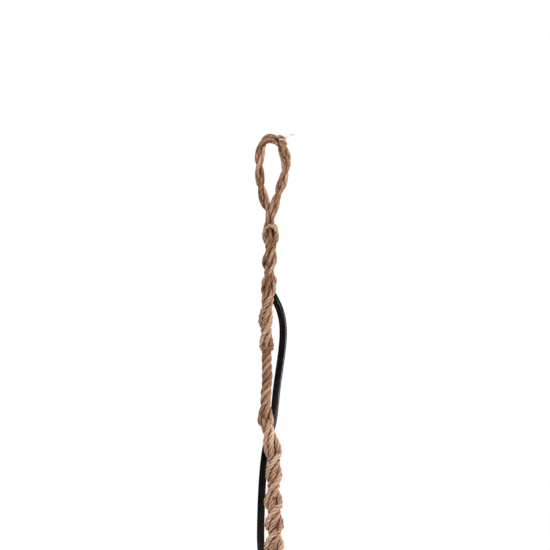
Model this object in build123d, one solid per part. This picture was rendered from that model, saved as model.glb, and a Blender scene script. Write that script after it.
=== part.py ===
"""Hanging rope of tan jute with an eye at each end and a black round flex threaded through it.

The rope is taken over its hook and down again, so it has two legs, laid round each other
below the upper eye. Each leg is two jute cords. The flex is tucked between the legs in the
neck, bows out on the right, crosses behind the rope lower down and goes into the seizing.
X points right, Y away from the viewer and Z up. Millimetres.
The origin is the inside top of the upper eye, where the rope bears on its hook.
"""

from build123d import *

import os
from math import cos, pi, radians, sin, sqrt, tan

# Driving dimensions
CORD_DIAMETER = 4.2
CORDS_IN_LEG = 2
LEG_DIAMETER = round(CORD_DIAMETER * sqrt(CORDS_IN_LEG), 2)
FLEX_DIAMETER = 6.8
LEG_SIDES = 10
FLEX_SIDES = 12
RUN_SHARE = 0.45

# The lay: one station every quarter turn, from the throat of the upper eye down.
# Each holds its height, the middle of the rope (x), and how far a leg's point is from the middle.
CLOSE = 4.35
LAY_STATIONS = [
    (-68.0, -0.2, CLOSE),
    (-84.5, 0.9, CLOSE),
    (-96.3, 0.6, CLOSE),
    (-107.6, -0.6, CLOSE),
    (-119.5, -0.8, CLOSE),
    (-132.0, -1.3, CLOSE),
    (-147.5, -2.8, CLOSE),
    (-161.5, -4.0, CLOSE),
    (-171.5, -3.2, CLOSE),
    (-183.5, -3.2, CLOSE),
    (-190.5, -3.1, CLOSE),
    (-197.5, -2.9, CLOSE),
    (-204.5, -2.8, CLOSE),
    (-212.0, -2.3, CLOSE),
    (-219.5, -3.3, CLOSE),
    (-227.0, -3.7, CLOSE),
    (-236.0, -4.1, CLOSE),
    (-248.5, -4.0, CLOSE + 0.2),
    (-260.5, -0.9, CLOSE + 0.2),
    (-278.0, 3.3, CLOSE),
    (-289.5, 3.6, CLOSE),
    (-300.8, 3.4, CLOSE),
    (-312.0, 2.8, CLOSE),
    (-325.0, 3.0, CLOSE + 0.6),
    (-333.5, 4.0, CLOSE + 0.6),
    (-343.4, 3.9, CLOSE + 1.0),
    (-353.0, 4.2, CLOSE + 0.8),
    (-365.0, 3.4, CLOSE + 1.0),
    (-377.0, 1.2, CLOSE + 0.4),
]

# The upper eye, as x and z: up its left side and over the crown, then down its right side.
# The legs meet end to end at the splice, on the straight run between those two.
EYE_LEFT = [
    (-5.2, -50.5),
    (-8.6, -37.5),
    (-9.8, -23.0),
    (-9.3, -9.0),
    (-6.6, 0.6),
    (-0.8, 4.7),
    (6.4, 3.2),
    (10.6, -2.6),
]
EYE_RIGHT = [(15.2, -14.2), (13.8, -26.0), (10.4, -37.6), (6.0, -51.0)]
SPLICE = (12.4, -7.14)
SPLICE_END_PLACE = (9.9, 0.0, -1.2)
SPLICE_END_WAY = (0.64, -0.2, 0.77)
SPLICE_END_LENGTH = 8.0
SPLICE_END_WIDTHS = (3.8, 3.0)

# The seizing and the lower eye
SEIZING_TOP = -388.0
SEIZING_HEIGHT = 18.0
SEIZING_WALL = 2.2
SEIZING_X = -2.5
SEIZING_BORE = 12.7
SEIZING_OUTER_CORNER = 5.0
SEIZING_INNER_CORNER = 2.9
LEG_PLACE = 3.45
FLEX_PLACE = 3.0
END_OUT = 3.0
LOWER_EYE = [
    (6.6, -2.6, -416.5),
    (6.4, -1.8, -428.5),
    (-2.5, -1.5, -435.5),
    (-11.4, -1.8, -428.5),
    (-11.6, -2.6, -416.5),
]

# The flex, as x, y and z, from its end between the legs down to the seizing
FLEX_ROUTE = [
    (-1.2, 1.8, -124.6),
    (-1.0, 6.6, -128.2),
    (0.4, 9.4, -132.8),
    (4.4, 9.9, -140.2),
    (8.8, 8.4, -149.5),
    (11.6, 6.4, -160.5),
    (12.1, 4.6, -173.5),
    (10.7, 4.0, -188.5),
    (8.4, 4.3, -204.5),
    (6.0, 5.6, -221.0),
    (4.4, 7.6, -238.0),
    (2.9, 9.4, -251.0),
    (-0.2, 10.5, -262.0),
    (-3.6, 9.4, -274.0),
    (-5.6, 7.4, -289.0),
    (-6.9, 5.6, -305.0),
    (-7.8, 4.6, -322.0),
    (-8.3, 4.2, -340.0),
    (-8.6, 4.0, -360.0),
    (-7.2, 3.4, -375.0),
]


def laid_leg(side: int) -> list[Vector]:
    """Return a leg's points through the lay: side 1 is the right leg, which starts in front."""
    points = []
    for station, (height, middle, reach) in enumerate(LAY_STATIONS):
        angle = station * pi / 2
        points.append(Vector(middle - side * reach * sin(angle), -side * reach * cos(angle), height))
    return points


def corner_radii(route: list[Vector]) -> list[float]:
    """Return the arc radius that the two runs beside each corner leave room for."""
    radii = []
    for before, corner, after in zip(route, route[1:], route[2:]):
        turn = (corner - before).get_angle(after - corner)
        shorter = min((corner - before).length, (after - corner).length)
        radii.append(RUN_SHARE * shorter / tan(radians(turn) / 2))
    return radii


def cord_tube(name: str, route: list[Vector], diameter: float, sides: int) -> Part:
    """Sweep a many-sided section of the round one's area along runs joined by tangent arcs."""
    radii = corner_radii(route)
    path = FilletPolyline(*route, radius=radii)
    section = pi * diameter**2 / 4
    corner_distance = sqrt(2 * section / (sides * sin(2 * pi / sides)))
    outline = Plane(path @ 0, z_dir=path % 0) * RegularPolygon(corner_distance, sides)
    tube = sweep(outline, path=path)
    print(f"{name}: length {path.length:.1f}, volume {tube.volume:.0f} of {section * path.length:.0f}")
    print("  radii " + " ".join(f"{radius:.1f}" for radius in radii))
    return tube


def in_seizing(across: float, back: float, height: float) -> Vector:
    """Return a point at a place across the seizing."""
    return Vector(SEIZING_X + across, back, height)


def left_leg_route() -> list[Vector]:
    """Return the left leg: splice, crown, left of the eye, lay, and its end under the seizing."""
    eye = [Vector(x, 0, z) for x, z in EYE_LEFT]
    seized = [
        in_seizing(LEG_PLACE, LEG_PLACE, SEIZING_TOP + 1),
        in_seizing(LEG_PLACE, LEG_PLACE, SEIZING_TOP - SEIZING_HEIGHT - END_OUT),
    ]
    return [Vector(SPLICE[0], 0, SPLICE[1]), *reversed(eye), *laid_leg(-1), *seized]


def right_leg_route() -> list[Vector]:
    """Return the right leg: splice, right of the eye, lay, seizing, lower eye and seizing again."""
    eye = [Vector(x, 0, z) for x, z in EYE_RIGHT]
    bottom = SEIZING_TOP - SEIZING_HEIGHT
    down = [
        in_seizing(LEG_PLACE, -LEG_PLACE, SEIZING_TOP + 1),
        in_seizing(LEG_PLACE, -LEG_PLACE, bottom - 1),
    ]
    lower = [Vector(*point) for point in LOWER_EYE]
    up = [
        in_seizing(-LEG_PLACE, -LEG_PLACE, bottom - 1),
        in_seizing(-LEG_PLACE, -LEG_PLACE, SEIZING_TOP + END_OUT),
    ]
    return [Vector(SPLICE[0], 0, SPLICE[1]), *eye, *laid_leg(1), *down, *lower, *up]


def flex_route() -> list[Vector]:
    """Return the flex from its tucked end down into the seizing."""
    seized = [
        in_seizing(-FLEX_PLACE, FLEX_PLACE, SEIZING_TOP + 1),
        in_seizing(-FLEX_PLACE, FLEX_PLACE, SEIZING_TOP - SEIZING_HEIGHT / 2),
    ]
    return [Vector(*point) for point in FLEX_ROUTE] + seized


def splice_end(leg: Part) -> Part:
    """Make the cord's end that stands out of the splice, seated on the leg it comes out of."""
    wide, narrow = SPLICE_END_WIDTHS
    stub = Cone(wide / 2, narrow / 2, SPLICE_END_LENGTH, align=(Align.CENTER, Align.CENTER, Align.MIN))
    return Plane(SPLICE_END_PLACE, z_dir=SPLICE_END_WAY) * stub - leg


def foot_seizing() -> Part:
    """Make the sleeve of twine round the two legs, the lower eye's returned end and the flex."""
    width = SEIZING_BORE + 2 * SEIZING_WALL
    outline = RectangleRounded(width, width, SEIZING_OUTER_CORNER)
    bore = RectangleRounded(SEIZING_BORE, SEIZING_BORE, SEIZING_INNER_CORNER)
    return Pos(SEIZING_X, 0, SEIZING_TOP) * extrude(outline - bore, amount=-SEIZING_HEIGHT)


def main() -> None:
    """Build every piece and write one STEP file for each."""
    left_leg = cord_tube("left_leg", left_leg_route(), LEG_DIAMETER, LEG_SIDES)
    pieces = {
        "left_leg": left_leg,
        "right_leg": cord_tube("right_leg", right_leg_route(), LEG_DIAMETER, LEG_SIDES),
        "splice_end": splice_end(left_leg),
        "flex": cord_tube("flex", flex_route(), FLEX_DIAMETER, FLEX_SIDES),
        "foot_seizing": foot_seizing(),
    }
    os.makedirs("parts", exist_ok=True)
    for name, piece in pieces.items():
        export_step(piece, f"parts/{name}.step")


main()
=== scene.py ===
import logging
import math
from collections.abc import Callable
from dataclasses import dataclass, field
from enum import Enum
from typing import NamedTuple

import bpy
import numpy as np
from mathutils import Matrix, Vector


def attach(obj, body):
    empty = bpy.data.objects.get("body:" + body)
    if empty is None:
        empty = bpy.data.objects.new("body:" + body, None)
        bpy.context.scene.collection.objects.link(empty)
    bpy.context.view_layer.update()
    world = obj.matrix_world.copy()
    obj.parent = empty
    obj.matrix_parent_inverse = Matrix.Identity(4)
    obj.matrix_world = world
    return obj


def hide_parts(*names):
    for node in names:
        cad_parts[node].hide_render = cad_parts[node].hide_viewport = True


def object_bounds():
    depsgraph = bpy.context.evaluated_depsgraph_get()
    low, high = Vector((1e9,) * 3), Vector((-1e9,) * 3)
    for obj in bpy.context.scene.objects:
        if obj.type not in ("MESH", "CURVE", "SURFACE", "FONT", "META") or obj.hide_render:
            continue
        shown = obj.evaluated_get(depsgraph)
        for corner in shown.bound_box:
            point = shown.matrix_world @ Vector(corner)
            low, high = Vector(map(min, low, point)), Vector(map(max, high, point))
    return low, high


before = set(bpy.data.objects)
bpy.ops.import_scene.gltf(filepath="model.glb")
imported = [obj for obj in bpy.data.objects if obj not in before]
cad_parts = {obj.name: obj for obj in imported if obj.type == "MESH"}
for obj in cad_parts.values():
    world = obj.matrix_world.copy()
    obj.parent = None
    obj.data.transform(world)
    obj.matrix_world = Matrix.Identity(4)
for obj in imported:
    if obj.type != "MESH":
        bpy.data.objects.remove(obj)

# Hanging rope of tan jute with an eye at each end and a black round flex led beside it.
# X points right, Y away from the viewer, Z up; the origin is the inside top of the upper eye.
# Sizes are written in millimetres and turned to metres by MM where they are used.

CAD_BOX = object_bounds()
MM = 0.001
BODY = "root"
LOG = logging.getLogger("hanging_rope")

Points = np.ndarray
Place = tuple[float, float, float]
Rows = tuple[tuple[float, ...], ...]
Arcs = tuple[tuple[Place, Place, Place, float], ...]
Colour = tuple[float, float, float, float]
Tree = bpy.types.NodeTree
Socket = bpy.types.NodeSocket

# The direction that a tube's first side starts nearest to
FIRST_SIDE = (0.3, 0.9, 0.3)

CORD_DIAMETER = 4.2
FLEX_DIAMETER = 6.8


class Station(NamedTuple):
    """One quarter turn of the lay, in millimetres and degrees.

    The legs' routes pass it at height, each reach away from the rope's middle, which is at
    middle across. The cords pass it at cord_height with the given radius; there a leg's own
    middle is spread from the rope's, and its pair of cords has turned so far from lying flat.
    """

    height: float
    middle: float
    reach: float
    cord_height: float
    radius: float
    spread: float
    turned: float


CLOSE = 4.35
LAY = [
    Station(*row)
    for row in (
        (-68.0, -0.2, CLOSE, -71.0, 2.0, 2.0, 0),
        (-84.5, 0.9, CLOSE, -83.5, 2.3, 2.7, 32),
        (-96.3, 0.6, CLOSE, -96.3, 2.1, 2.0, 0),
        (-107.6, -0.6, CLOSE, -108.8, 2.1, 3.0, 30),
        (-119.5, -0.8, CLOSE, -120.5, 2.0, 2.0, 0),
        (-132.0, -1.3, CLOSE, -132.5, 2.1, 3.4, 52),
        (-147.5, -2.8, CLOSE, -148.0, 2.05, 2.0, 0),
        (-161.5, -4.0, CLOSE, -162.0, 2.15, 2.5, 36),
        (-171.5, -3.2, CLOSE, -171.5, 2.05, 2.0, 0),
        (-183.5, -3.2, CLOSE, -185.0, 2.2, 2.6, 36),
        (-190.5, -3.1, CLOSE, -191.0, 1.95, 1.9, 0),
        (-197.5, -2.9, CLOSE, -197.5, 1.9, 1.95, 90),
        (-204.5, -2.8, CLOSE, -204.5, 1.95, 1.9, 0),
        (-212.0, -2.3, CLOSE, -212.0, 2.05, 2.4, 90),
        (-219.5, -3.3, CLOSE, -219.5, 1.9, 1.9, 0),
        (-227.0, -3.7, CLOSE, -227.0, 2.05, 2.0, 90),
        (-236.0, -4.1, CLOSE, -236.0, 2.0, 2.0, 0),
        (-248.5, -4.0, CLOSE + 0.2, -251.5, 2.4, 3.3, 38),
        (-260.5, -0.9, CLOSE + 0.2, -260.5, 2.25, 2.3, 0),
        (-278.0, 3.3, CLOSE, -279.5, 2.5, 3.5, 35),
        (-289.5, 3.6, CLOSE, -289.5, 2.25, 2.3, 0),
        (-300.8, 3.4, CLOSE, -301.5, 2.5, 2.95, 35),
        (-312.0, 2.8, CLOSE, -312.0, 2.25, 2.3, 0),
        (-325.0, 3.0, CLOSE + 0.6, -326.0, 2.65, 4.2, 33),
        (-333.5, 4.0, CLOSE + 0.6, -334.0, 2.45, 2.6, 0),
        (-343.4, 3.9, CLOSE + 1.0, -345.0, 2.65, 4.0, 33),
        (-353.0, 4.2, CLOSE + 0.8, -353.5, 2.5, 3.2, 0),
        (-365.0, 3.4, CLOSE + 1.0, -366.0, 2.65, 4.5, 33),
        (-377.0, 1.2, CLOSE + 0.4, -377.0, 2.2, 3.0, 0),
    )
]

# The upper eye, as x and z, up its left side and over the crown, then down its right side
EYE_LEFT = [
    (-5.2, -50.5),
    (-8.6, -37.5),
    (-9.8, -23.0),
    (-9.3, -9.0),
    (-6.6, 0.6),
    (-0.8, 4.7),
    (6.4, 3.2),
    (10.6, -2.6),
]
EYE_RIGHT = [(15.2, -14.2), (13.8, -26.0), (10.4, -37.6), (6.0, -51.0)]
SPLICE = (12.4, -7.14)

# The seizing and the lower eye
SEIZING_TOP = -388.0
SEIZING_HEIGHT = 18.0
SEIZING_X = -2.5
SEIZING_FOOT = SEIZING_TOP - SEIZING_HEIGHT
LEG_PLACE = 3.45
FLEX_PLACE = 3.0
END_OUT = 3.0
LOWER_EYE = [
    (6.6, -2.6, -416.5),
    (6.4, -1.8, -428.5),
    (-2.5, -1.5, -435.5),
    (-11.4, -1.8, -428.5),
    (-11.6, -2.6, -416.5),
]

# The flex, as x, y and z, from its end between the legs down to the seizing
FLEX_ROUTE = [
    (-1.2, 1.8, -124.6),
    (-1.0, 6.6, -128.2),
    (0.4, 9.4, -132.8),
    (4.4, 9.9, -140.2),
    (8.8, 8.4, -149.5),
    (11.6, 6.4, -160.5),
    (12.1, 4.6, -173.5),
    (10.7, 4.0, -188.5),
    (8.4, 4.3, -204.5),
    (6.0, 5.6, -221.0),
    (4.4, 7.6, -238.0),
    (2.9, 9.4, -251.0),
    (-0.2, 10.5, -262.0),
    (-3.6, 9.4, -274.0),
    (-5.6, 7.4, -289.0),
    (-6.9, 5.6, -305.0),
    (-7.8, 4.6, -322.0),
    (-8.3, 4.2, -340.0),
    (-8.6, 4.0, -360.0),
    (-7.2, 3.4, -375.0),
]


class Side(Enum):
    """Which leg of the rope: the right one starts in front of the left one at the throat."""

    LEFT = -1
    RIGHT = 1


# ---- lines


def linked(name: str, data: bpy.types.ID) -> bpy.types.Object:
    """Make an object and link it to the scene.

    Args:
        name: its name.
        data: its mesh, curve, lamp or camera data.

    Returns:
        The object.
    """
    obj = bpy.data.objects.new(name, data)
    bpy.context.scene.collection.objects.link(obj)
    return obj


def in_seizing(across: float, back: float, height: float) -> Place:
    """Return a point at a place across the seizing, in millimetres."""
    return (SEIZING_X + across, back, height)


def leg_route(side: Side) -> list[Place]:
    """Work out a leg's whole route, from the splice down, with a point for each station.

    Args:
        side: the leg.

    Returns:
        The route's points in millimetres.
    """
    if side is Side.LEFT:
        eye = EYE_LEFT[::-1]
        below = [
            in_seizing(LEG_PLACE, LEG_PLACE, SEIZING_TOP + 1),
            in_seizing(LEG_PLACE, LEG_PLACE, SEIZING_FOOT - END_OUT),
        ]
    else:
        eye = EYE_RIGHT
        below = [
            in_seizing(LEG_PLACE, -LEG_PLACE, SEIZING_TOP + 1),
            in_seizing(LEG_PLACE, -LEG_PLACE, SEIZING_FOOT - 1),
            *LOWER_EYE,
            in_seizing(-LEG_PLACE, -LEG_PLACE, SEIZING_FOOT - 1),
            in_seizing(-LEG_PLACE, -LEG_PLACE, SEIZING_TOP + END_OUT),
        ]
    route = [(x, 0.0, z) for x, z in [SPLICE, *eye]]
    for number, station in enumerate(LAY):
        angle, reach = number * math.pi / 2, side.value * station.reach
        across = station.middle - reach * math.sin(angle)
        route.append((across, -reach * math.cos(angle), station.height))
    return route + below


def flex_route() -> list[Place]:
    """Return the flex's whole route, down into the seizing, in millimetres."""
    heights = (SEIZING_TOP + 1, SEIZING_TOP - SEIZING_HEIGHT / 2)
    return FLEX_ROUTE + [in_seizing(-FLEX_PLACE, FLEX_PLACE, height) for height in heights]


def route_line(name: str, route: list[Place]) -> Points:
    """Read the smooth line that has a route's points as its control points.

    Args:
        name: the name of the curve that draws it, which isn't kept.
        route: the points in millimetres.

    Returns:
        The line's points in millimetres.
    """
    curve = bpy.data.curves.new(name, "CURVE")
    curve.dimensions = "3D"
    spline = curve.splines.new("NURBS")
    spline.points.add(len(route) - 1)
    for point, place in zip(spline.points, route):
        point.co = (*(value * MM for value in place), 1.0)
    spline.order_u = 3
    spline.use_endpoint_u = True
    spline.resolution_u = 12
    obj = linked(name, curve)
    mesh = bpy.data.meshes.new_from_object(obj)
    points = np.array([vertex.co[:] for vertex in mesh.vertices]) / MM
    bpy.data.meshes.remove(mesh)
    bpy.data.objects.remove(obj)
    return points


def arc(first: Place, middle: Place, last: Place, count: int) -> Points:
    """Return the points of a curl that starts for its middle point and bends to its last."""
    steps = np.linspace(0, 1, count)[:, None]
    return (1 - steps) ** 2 * first + 2 * steps * (1 - steps) * middle + steps**2 * last


def each_axis(line: Points, change: Callable[[Points], Points]) -> Points:
    """Change a line's x, y and z values in the same way."""
    return np.stack([change(line[:, axis]) for axis in range(3)], axis=1)


def line_length(line: Points) -> float:
    """Return the length of a line of points, in its own unit."""
    return float(np.linalg.norm(np.diff(line, axis=0), axis=1).sum())


def spaced(line: Points, spacing: float) -> Points:
    """Place points evenly along a line.

    Args:
        line: the points, n by 3.
        spacing: the distance wanted between two points.

    Returns:
        The evenly spaced points.
    """
    along = distance_along(line)
    count = max(2, int(round(along[-1] / spacing)) + 1)
    wanted = np.linspace(0.0, along[-1], count)
    return each_axis(line, lambda values: np.interp(wanted, along, values))


def distance_along(line: Points) -> Points:
    """Return how far along its line each point lies."""
    return np.concatenate([[0.0], np.cumsum(np.linalg.norm(np.diff(line, axis=0), axis=1))])


def tangents(line: Points) -> Points:
    """Return the unit direction of a line at each of its points."""
    return unit(np.gradient(line, axis=0))


def unit(ways: Points) -> Points:
    """Return directions scaled to a length of 1."""
    return ways / np.maximum(np.linalg.norm(ways, axis=-1, keepdims=True), 1e-6)


def frames(line: Points, first: Place) -> tuple[Points, Points]:
    """Carry two cross directions along a line without turning them about it.

    Args:
        line: the points, n by 3.
        first: a direction that the first cross direction starts nearest to.

    Returns:
        The two unit cross directions at each point.
    """
    ways = tangents(line)
    normals = np.zeros_like(line)
    carried = np.array(first, dtype=float)
    for index, way in enumerate(ways):
        carried = unit(carried - way * (carried @ way))
        normals[index] = carried
    return normals, np.cross(ways, normals)


def smooth_noise(rng: np.random.Generator, along: Points, length: float) -> Points:
    """Make a smooth random value from -1 to 1 that changes over about a given length.

    Args:
        rng: the random source.
        along: the distances at which it is wanted.
        length: how far apart its ups and downs are.

    Returns:
        One value for each distance.
    """
    knots = np.arange(along.min() - 2 * length, along.max() + 3 * length, length)
    values = rng.uniform(-1, 1, len(knots))
    coarse = np.interp(along, knots, values)
    shifted = np.interp(along + length / 2, knots, values)
    return (coarse + shifted) / 2


def smoothed(values: Points, width: int) -> Points:
    """Smooth a row of values with a bell that is a given odd number of values wide."""
    bell = np.hanning(width + 2)[1:-1]
    return np.convolve(np.pad(values, width // 2, mode="edge"), bell / bell.sum(), mode="valid")


def nearest(line: Points, other: Points, guess: Points | None) -> tuple[Points, Points]:
    """Find the nearest point of another line to each point of a line.

    Args:
        line: the points, n by 3.
        other: the other line's points.
        guess: indices that were nearest a moment ago, or None to look at every point.

    Returns:
        The nearest points' indices, and their distances.
    """
    if guess is None:
        gaps = np.linalg.norm(line[:, None] - other[None], axis=2)
        found = gaps.argmin(axis=1)
        return found, gaps[np.arange(len(line)), found]
    tried = np.clip(guess[:, None] + np.arange(-5, 6)[None], 0, len(other) - 1)
    gaps = np.linalg.norm(line[:, None] - other[tried], axis=2)
    best = gaps.argmin(axis=1)
    rows = np.arange(len(line))
    return tried[rows, best], gaps[rows, best]


# ---- the lay of the cords


@dataclass(frozen=True)
class EyeTwist:
    """How a leg's pair of cords turns through the upper eye.

    Each mark is a height on the leg's way down and the turn there in degrees, where 0 has the
    cords side by side across the view; start is the turn at the splice, and lay the turn
    where the lay begins. The way down counts from down_from, in millimetres along the leg.
    """

    start: float
    marks: Rows
    lay: float
    down_from: float


EYE_TWISTS = {
    Side.LEFT: EyeTwist(
        330, ((-9.9, 0), (-19.8, -90), (-29.2, -180), (-38.7, -270), (-48.2, -350)), -540, 33
    ),
    Side.RIGHT: EyeTwist(
        30, ((-11.7, 0), (-25.2, -90), (-35.1, -180), (-46.8, -270), (-58.0, -350)), -360, 7
    ),
}


@dataclass
class CordLay:
    """How the two cords of each leg lie, and how all four settle against each other.

    Settling takes a number of rounds. In each the cords pull smooth, are held near where they
    were laid, and are pushed apart until they nestle, but none moves further than the slack.
    From easy_rounds on, as a share of the rounds, they pull smooth less. The nearest points of
    two cords are looked for from where they last were, and anew every so many rounds.
    """

    radius: float = CORD_DIAMETER / 2
    eye_radius: float = CORD_DIAMETER / 2 + 0.05
    throat: tuple[float, float] = (-61.0, -71.0)
    foot_fade: float = 11.0
    overlap: float = 4.5
    tight: tuple[float, float] = (-188.0, -240.0)
    sharpness: float = 0.22
    eye_sharpness: float = 0.27
    eye_fade: tuple[float, float] = (-44.0, -54.0)
    tight_blur: int = 15
    middle_blur: int = 9
    spread_blur: int = 5
    turn_blur: int = 7
    end_pitch: float = 42.0
    spacing: float = 1.0
    rounds: int = 60
    look_anew: int = 40
    easy_rounds: float = 0.8
    easing: float = 0.3
    smoothing: float = 0.10
    hold: float = 0.04
    nestle: float = 0.94
    slack: float = 1.8
    seizing_reach: float = 5.0

    def cord_radius(self, heights: Points) -> Points:
        """Work out a cord's radius.

        Args:
            heights: the heights at which it is wanted.

        Returns:
            The radius at each height.
        """
        marks = [10.0, -45.0, -60.0, *(at.cord_height for at in LAY), SEIZING_TOP - 1]
        in_lay = (at.radius for at in LAY)
        values = [self.radius, self.eye_radius, self.eye_radius, *in_lay, self.radius]
        return np.interp(-heights, -np.array(marks), values)

    def pair(self, leg: Points, side: Side) -> tuple[list[Points], Points]:
        """Lay two cords round a leg's line.

        Args:
            leg: the leg's line in millimetres.
            side: which leg it is.

        Returns:
            The two cords' lines, and the middle that they turn round at each point.
        """
        start = leg[0] + self.overlap * unit(leg[0] - leg[1])
        line = spaced(np.concatenate([start[None], leg]), self.spacing)
        twist = EYE_TWISTS[side]
        along = distance_along(line)
        index = np.arange(len(line))
        below = int(np.argmax(line[:, 2] < SEIZING_TOP + 2))
        descent = index[(along > twist.down_from) & (index <= below)]
        stations = [self.at_height(line, descent, at.cord_height) for at in LAY]
        quarter = np.radians(np.interp(index, stations, 90.0 * np.arange(len(stations))))
        tight = (line[:, 2] < self.tight[0]) & (line[:, 2] > self.tight[1])
        loose = 1 - smoothed(tight.astype(float), self.tight_blur)
        angle = quarter + self.sharpness * loose * np.sin(2 * quarter)
        middle = np.interp(index, stations, [at.middle for at in LAY])
        middle = smoothed(middle, self.middle_blur)
        spread = np.interp(index, stations, [at.spread for at in LAY])
        spread = smoothed(spread, self.spread_blur)
        laid = line.copy()
        laid[:, 0] = middle - side.value * spread * np.sin(angle)
        laid[:, 1] = -side.value * spread * np.cos(angle)
        share = np.interp(-line[:, 2], [-self.throat[0], -self.throat[1]], [0.0, 1.0])
        share *= np.interp(line[:, 2], [SEIZING_TOP, SEIZING_TOP + self.foot_fade], [0.0, 1.0])
        share[(index > below) | (along < twist.down_from)] = 0.0
        centre = line * (1 - share[:, None]) + laid * share[:, None]
        turn = self.turn(line, twist, descent, stations)
        ways = tangents(centre)
        back = unit(np.array([0.0, 1.0, 0.0]) - ways[:, 1:2] * ways)
        across = np.cross(ways, back)
        offset = np.cos(turn)[:, None] * across + np.sin(turn)[:, None] * back
        offset *= self.cord_radius(line[:, 2])[:, None]
        core = centre.copy()
        core[:, 0] += share * (middle - centre[:, 0])
        core[:, 1] *= 1 - share
        return [centre + offset, centre - offset], core

    @staticmethod
    def at_height(line: Points, descent: Points, height: float) -> int:
        """Return the index of the point on a leg's way down that is nearest to a height."""
        return int(descent[np.abs(line[descent, 2] - height).argmin()])

    def turn(self, line: Points, twist: EyeTwist, descent: Points, stations: list[int]) -> Points:
        """Work out how far a leg's pair of cords has turned at each point.

        Args:
            line: the leg's points.
            twist: the leg's twist through the eye.
            descent: the indices on its way down.
            stations: the index at each lay station.

        Returns:
            The turn in radians.
        """
        marks = [(self.at_height(line, descent, height), turned) for height, turned in twist.marks]
        for number, (place, station) in enumerate(zip(stations, LAY)):
            marks.append((place, twist.lay - 90 * (number - number % 2) - station.turned))
        along = distance_along(line)
        last = marks[-1][1] - (along[-1] - along[stations[-1]]) / self.end_pitch * 360
        places, turns = zip((0, twist.start), *marks, (len(line) - 1, last))
        turn = np.radians(np.interp(np.arange(len(line)), places, turns))
        turn = smoothed(turn, self.turn_blur)
        in_eye = np.interp(line[:, 2], self.eye_fade[::-1], [0.0, 1.0])
        return turn - self.eye_sharpness * in_eye * np.sin(2 * turn)

    def settle(self, cords: list[Points], flex: Points) -> None:
        """Push the cords off each other and off the flex, and let them pull smooth.

        Args:
            cords: the cords' lines, changed in place.
            flex: the flex's line, which stays.
        """
        homes = [cord.copy() for cord in cords]
        radii = [self.cord_radius(cord[:, 2]) for cord in cords]
        near: dict[tuple[int, int], Points] = {}
        for turn in range(self.rounds):
            ease = self.easing if turn > self.rounds * self.easy_rounds else 1.0
            for cord, home in zip(cords, homes):
                middle = (cord[:-2] + cord[2:]) / 2
                cord[1:-1] += self.smoothing * ease * (middle - cord[1:-1])
                cord[1:-1] += self.hold * (home[1:-1] - cord[1:-1])
            pushes = [np.zeros_like(cord) for cord in cords]
            for one, cord in enumerate(cords):
                for other, against in enumerate([*cords, flex]):
                    if other == one:
                        continue
                    key = (one, other)
                    guess = near.get(key) if turn % self.look_anew else None
                    near[key], gap = nearest(cord, against, guess)
                    if other < len(cords):
                        need = (radii[one] + radii[other][near[key]]) * self.nestle
                        share = 0.5
                    else:
                        need, share = radii[one] + FLEX_DIAMETER / 2, 1.0
                    way = (cord - against[near[key]]) / np.maximum(gap, 1e-6)[:, None]
                    pushes[one] += share * np.maximum(need - gap, 0)[:, None] * way
            for cord, push, home in zip(cords, pushes, homes):
                cord[1:] += push[1:]
                moved = cord - home
                reach = np.maximum(np.linalg.norm(moved, axis=1), 1e-6)[:, None]
                cord[:] = home + moved * np.minimum(1.0, self.slack / reach)
                self.squeeze(cord)

    def squeeze(self, cord: Points) -> None:
        """Draw a cord in where the seizing holds it.

        Args:
            cord: the cord's line, changed in place.
        """
        held = (cord[:, 2] < SEIZING_TOP + 1) & (cord[:, 2] > SEIZING_FOOT - 1)
        from_middle = cord[:, :2] - np.array([SEIZING_X, 0.0])
        reach = np.linalg.norm(from_middle, axis=1)
        over = held & (reach > self.seizing_reach)
        scale = self.seizing_reach / np.maximum(reach, 1e-6)
        cord[over, :2] -= 0.5 * (from_middle * (1 - scale)[:, None])[over]


# ---- meshes


@dataclass
class MeshParts:
    """Collects the shapes of one mesh."""

    shapes: list[tuple[Points, ...]] = field(default_factory=list)
    count: int = 0

    def add(
        self, vertices: Points, faces: Points, places: Points, depths: Points, tones: Points
    ) -> None:
        """Add one shape.

        Args:
            vertices: its vertices in millimetres.
            faces: its faces, four of its own vertices' numbers each.
            places: the place along and round it of each face corner.
            depths: the painted shade of each vertex, for its grooves and crevices.
            tones: the tone of each vertex.
        """
        self.shapes.append((vertices, faces + self.count, places, depths, tones))
        self.count += len(vertices)

    def build(self, name: str) -> bpy.types.Object:
        """Make one mesh object in metres from all that was added.

        Args:
            name: the piece's name.

        Returns:
            The object, linked and riding on the body.
        """
        vertices, faces, places, depths, tones = map(np.concatenate, zip(*self.shapes))
        mesh = bpy.data.meshes.new(name)
        mesh.from_pydata((vertices * MM).tolist(), [], faces.tolist())
        layer = mesh.uv_layers.new(name="along_and_round")
        layer.data.foreach_set("uv", places.astype(np.float32).ravel())
        # The depth attribute carries each vertex's painted shade, which the jute's shader mixes in
        # as the groove colour
        for kind, values in (("depth", depths), ("tone", tones)):
            attribute = mesh.attributes.new(kind, "FLOAT", "POINT")
            attribute.data.foreach_set("value", values.astype(np.float32))
        mesh.polygons.foreach_set("use_smooth", [True] * len(mesh.polygons))
        mesh.update()
        obj = linked(name, mesh)
        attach(obj, BODY)
        return obj


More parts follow.
